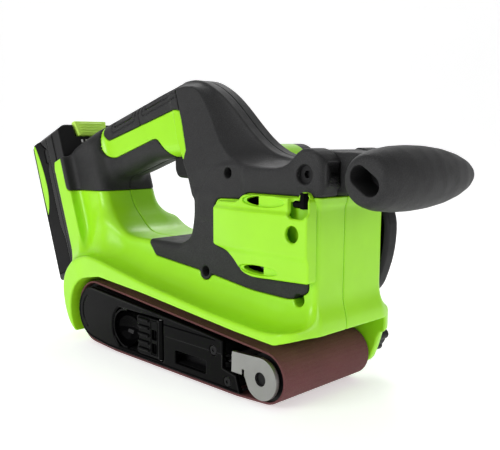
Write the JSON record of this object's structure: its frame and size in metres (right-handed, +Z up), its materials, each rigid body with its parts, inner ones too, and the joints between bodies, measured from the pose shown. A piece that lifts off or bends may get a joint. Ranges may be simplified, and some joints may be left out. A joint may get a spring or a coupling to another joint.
{
  "type": "belt sander",
  "caption": "Cordless handheld belt sander with a closed rear handle, hinged front grip, belt release lever and slide-on battery.",
  "frame": {"origin": "centre of the flat sanding face, midway between the drum and roller axes and across the belt", "axes": "+X forward along the belt to the idler roller, +Y across to the drive-cover side, +Z up from the sanding face"},
  "size_m": [0.3562, 0.1065, 0.1863],
  "materials": {
    "housing_green": "satin",
    "soft_charcoal": "fine texture",
    "gloss_black": "gloss",
    "matte_black": "matte",
    "steel": "brushed",
    "bright_steel": "polished",
    "aluminium": "cast",
    "abrasive": "grit",
    "copper": "enamelled wire",
    "graphite": "graphite cloth",
    "board_green": "solder mask",
    "cell_wrap": "shrink film",
    "latch_green": "satin",
    "lamp_white": "gloss",
    "spring_steel": "drawn wire"
  },
  "bodies": {
    "chassis": {"right_housing": "housing_green", "left_housing": "housing_green", "front_overmold_right": "soft_charcoal", "front_overmold_left": "soft_charcoal", "palm_grip": "soft_charcoal", "finger_grip_right": "soft_charcoal", "finger_grip_left": "soft_charcoal", "motor_cover": "housing_green", "hex_key": "gloss_black", "housing_screws": "steel", "dust_port": "housing_green", "dust_collar": "soft_charcoal", "base_frame": "matte_black", "drive_plate": "aluminium", "platen_plate": "bright_steel", "platen_pad": "graphite", "sanding_belt": "abrasive", "side_cover": "gloss_black", "side_cover_screws": "steel", "motor_stator": "steel", "motor_windings": "copper", "motor_bearings": "bright_steel", "timing_belt": "matte_black", "drum_bearings": "bright_steel", "belt_cover": "soft_charcoal", "belt_cover_screws": "steel", "tension_spring": "spring_steel", "lever_pin": "steel", "pivot_bolt": "steel", "pivot_nut": "steel", "trigger_pin": "steel", "switch_body": "matte_black", "controller_board": "board_green", "heat_sink": "aluminium", "terminal_block": "matte_black"},
    "rotor": {"motor_rotor": "steel", "motor_shaft": "bright_steel", "cooling_fan": "matte_black", "motor_pulley": "steel"},
    "drum": {"drive_drum": "matte_black", "drum_shaft": "bright_steel", "drum_pulley": "steel"},
    "fork": {"roller_fork": "steel", "roller_axle": "steel", "pull_rod": "bright_steel"},
    "roller": {"front_roller": "matte_black", "roller_bearings": "bright_steel"},
    "lever": {"release_lever": "gloss_black"},
    "knob": {"tracking_knob": "matte_black", "tracking_screw": "bright_steel"},
    "front_handle": {"front_handle": "soft_charcoal"},
    "trigger": {"trigger": "matte_black"},
    "lock_button": {"lock_button": "matte_black"},
    "battery": {"battery_case": "gloss_black", "battery_lid": "matte_black", "battery_cells": "cell_wrap", "battery_leds": "lamp_white"},
    "latch": {"battery_latch": "latch_green"},
    "charge_button": {"charge_button": "matte_black"}
  },
  "joints": [
    {"name": "drum_spin", "type": "hinge", "parent": "chassis", "child": "drum", "pos_m": [-0.085, 0, 0.0239], "axis": [0, 1, 0], "continuous": true},
    {"name": "motor_spin", "type": "hinge", "parent": "chassis", "child": "rotor", "pos_m": [0.072, 0, 0.092], "axis": [0, 1, 0], "continuous": true},
    {"name": "lever_swing", "type": "hinge", "parent": "chassis", "child": "lever", "pos_m": [-0.0063, -0.0396, 0.0195], "axis": [0, 0, 1], "range_deg": [0, 100]},
    {"name": "roller_slide", "type": "slide", "parent": "chassis", "child": "fork", "axis": [1, 0, 0], "range_m": [-0.004, 0], "deforming": ["tension_spring"]},
    {"name": "roller_spin", "type": "hinge", "parent": "fork", "child": "roller", "pos_m": [0.085, 0, 0.0164], "axis": [0, 1, 0], "continuous": true},
    {"name": "tracking_turn", "type": "hinge", "parent": "chassis", "child": "knob", "pos_m": [0.09, 0, 0.026], "axis": [0, 1, 0], "range_deg": [-180, 180]},
    {"name": "handle_swing", "type": "hinge", "parent": "chassis", "child": "front_handle", "pos_m": [0.102, 0, 0.129], "axis": [0, 1, 0], "range_deg": [-90, 0]},
    {"name": "trigger_pull", "type": "hinge", "parent": "chassis", "child": "trigger", "pos_m": [-0.011, 0, 0.143], "axis": [0, 1, 0], "range_deg": [0, 12], "stiffness_Nm_per_rad": 0.8},
    {"name": "lock_press", "type": "slide", "parent": "chassis", "child": "lock_button", "axis": [0, -1, 0], "range_m": [0, 0.0025], "stiffness_N_per_m": 400},
    {"name": "battery_slide", "type": "slide", "parent": "chassis", "child": "battery", "axis": [-0.342, 0, 0.9397], "range_m": [0, 0.11]},
    {"name": "latch_press", "type": "slide", "parent": "battery", "child": "latch", "axis": [-0.9397, 0, -0.342], "range_m": [0, 0.003], "stiffness_N_per_m": 500},
    {"name": "charge_press", "type": "slide", "parent": "battery", "child": "charge_button", "axis": [-0.9397, 0, -0.342], "range_m": [0, 0.001], "stiffness_N_per_m": 500}
  ],
  "couplings": [
    {"joint": "motor_spin", "follows": "drum_spin", "ratio": 2.25},
    {"joint": "roller_spin", "follows": "drum_spin", "ratio": 1.5139},
    {"joint": "lever_swing", "follows": "roller_slide", "rad_per_m": -436.33}
  ]
}
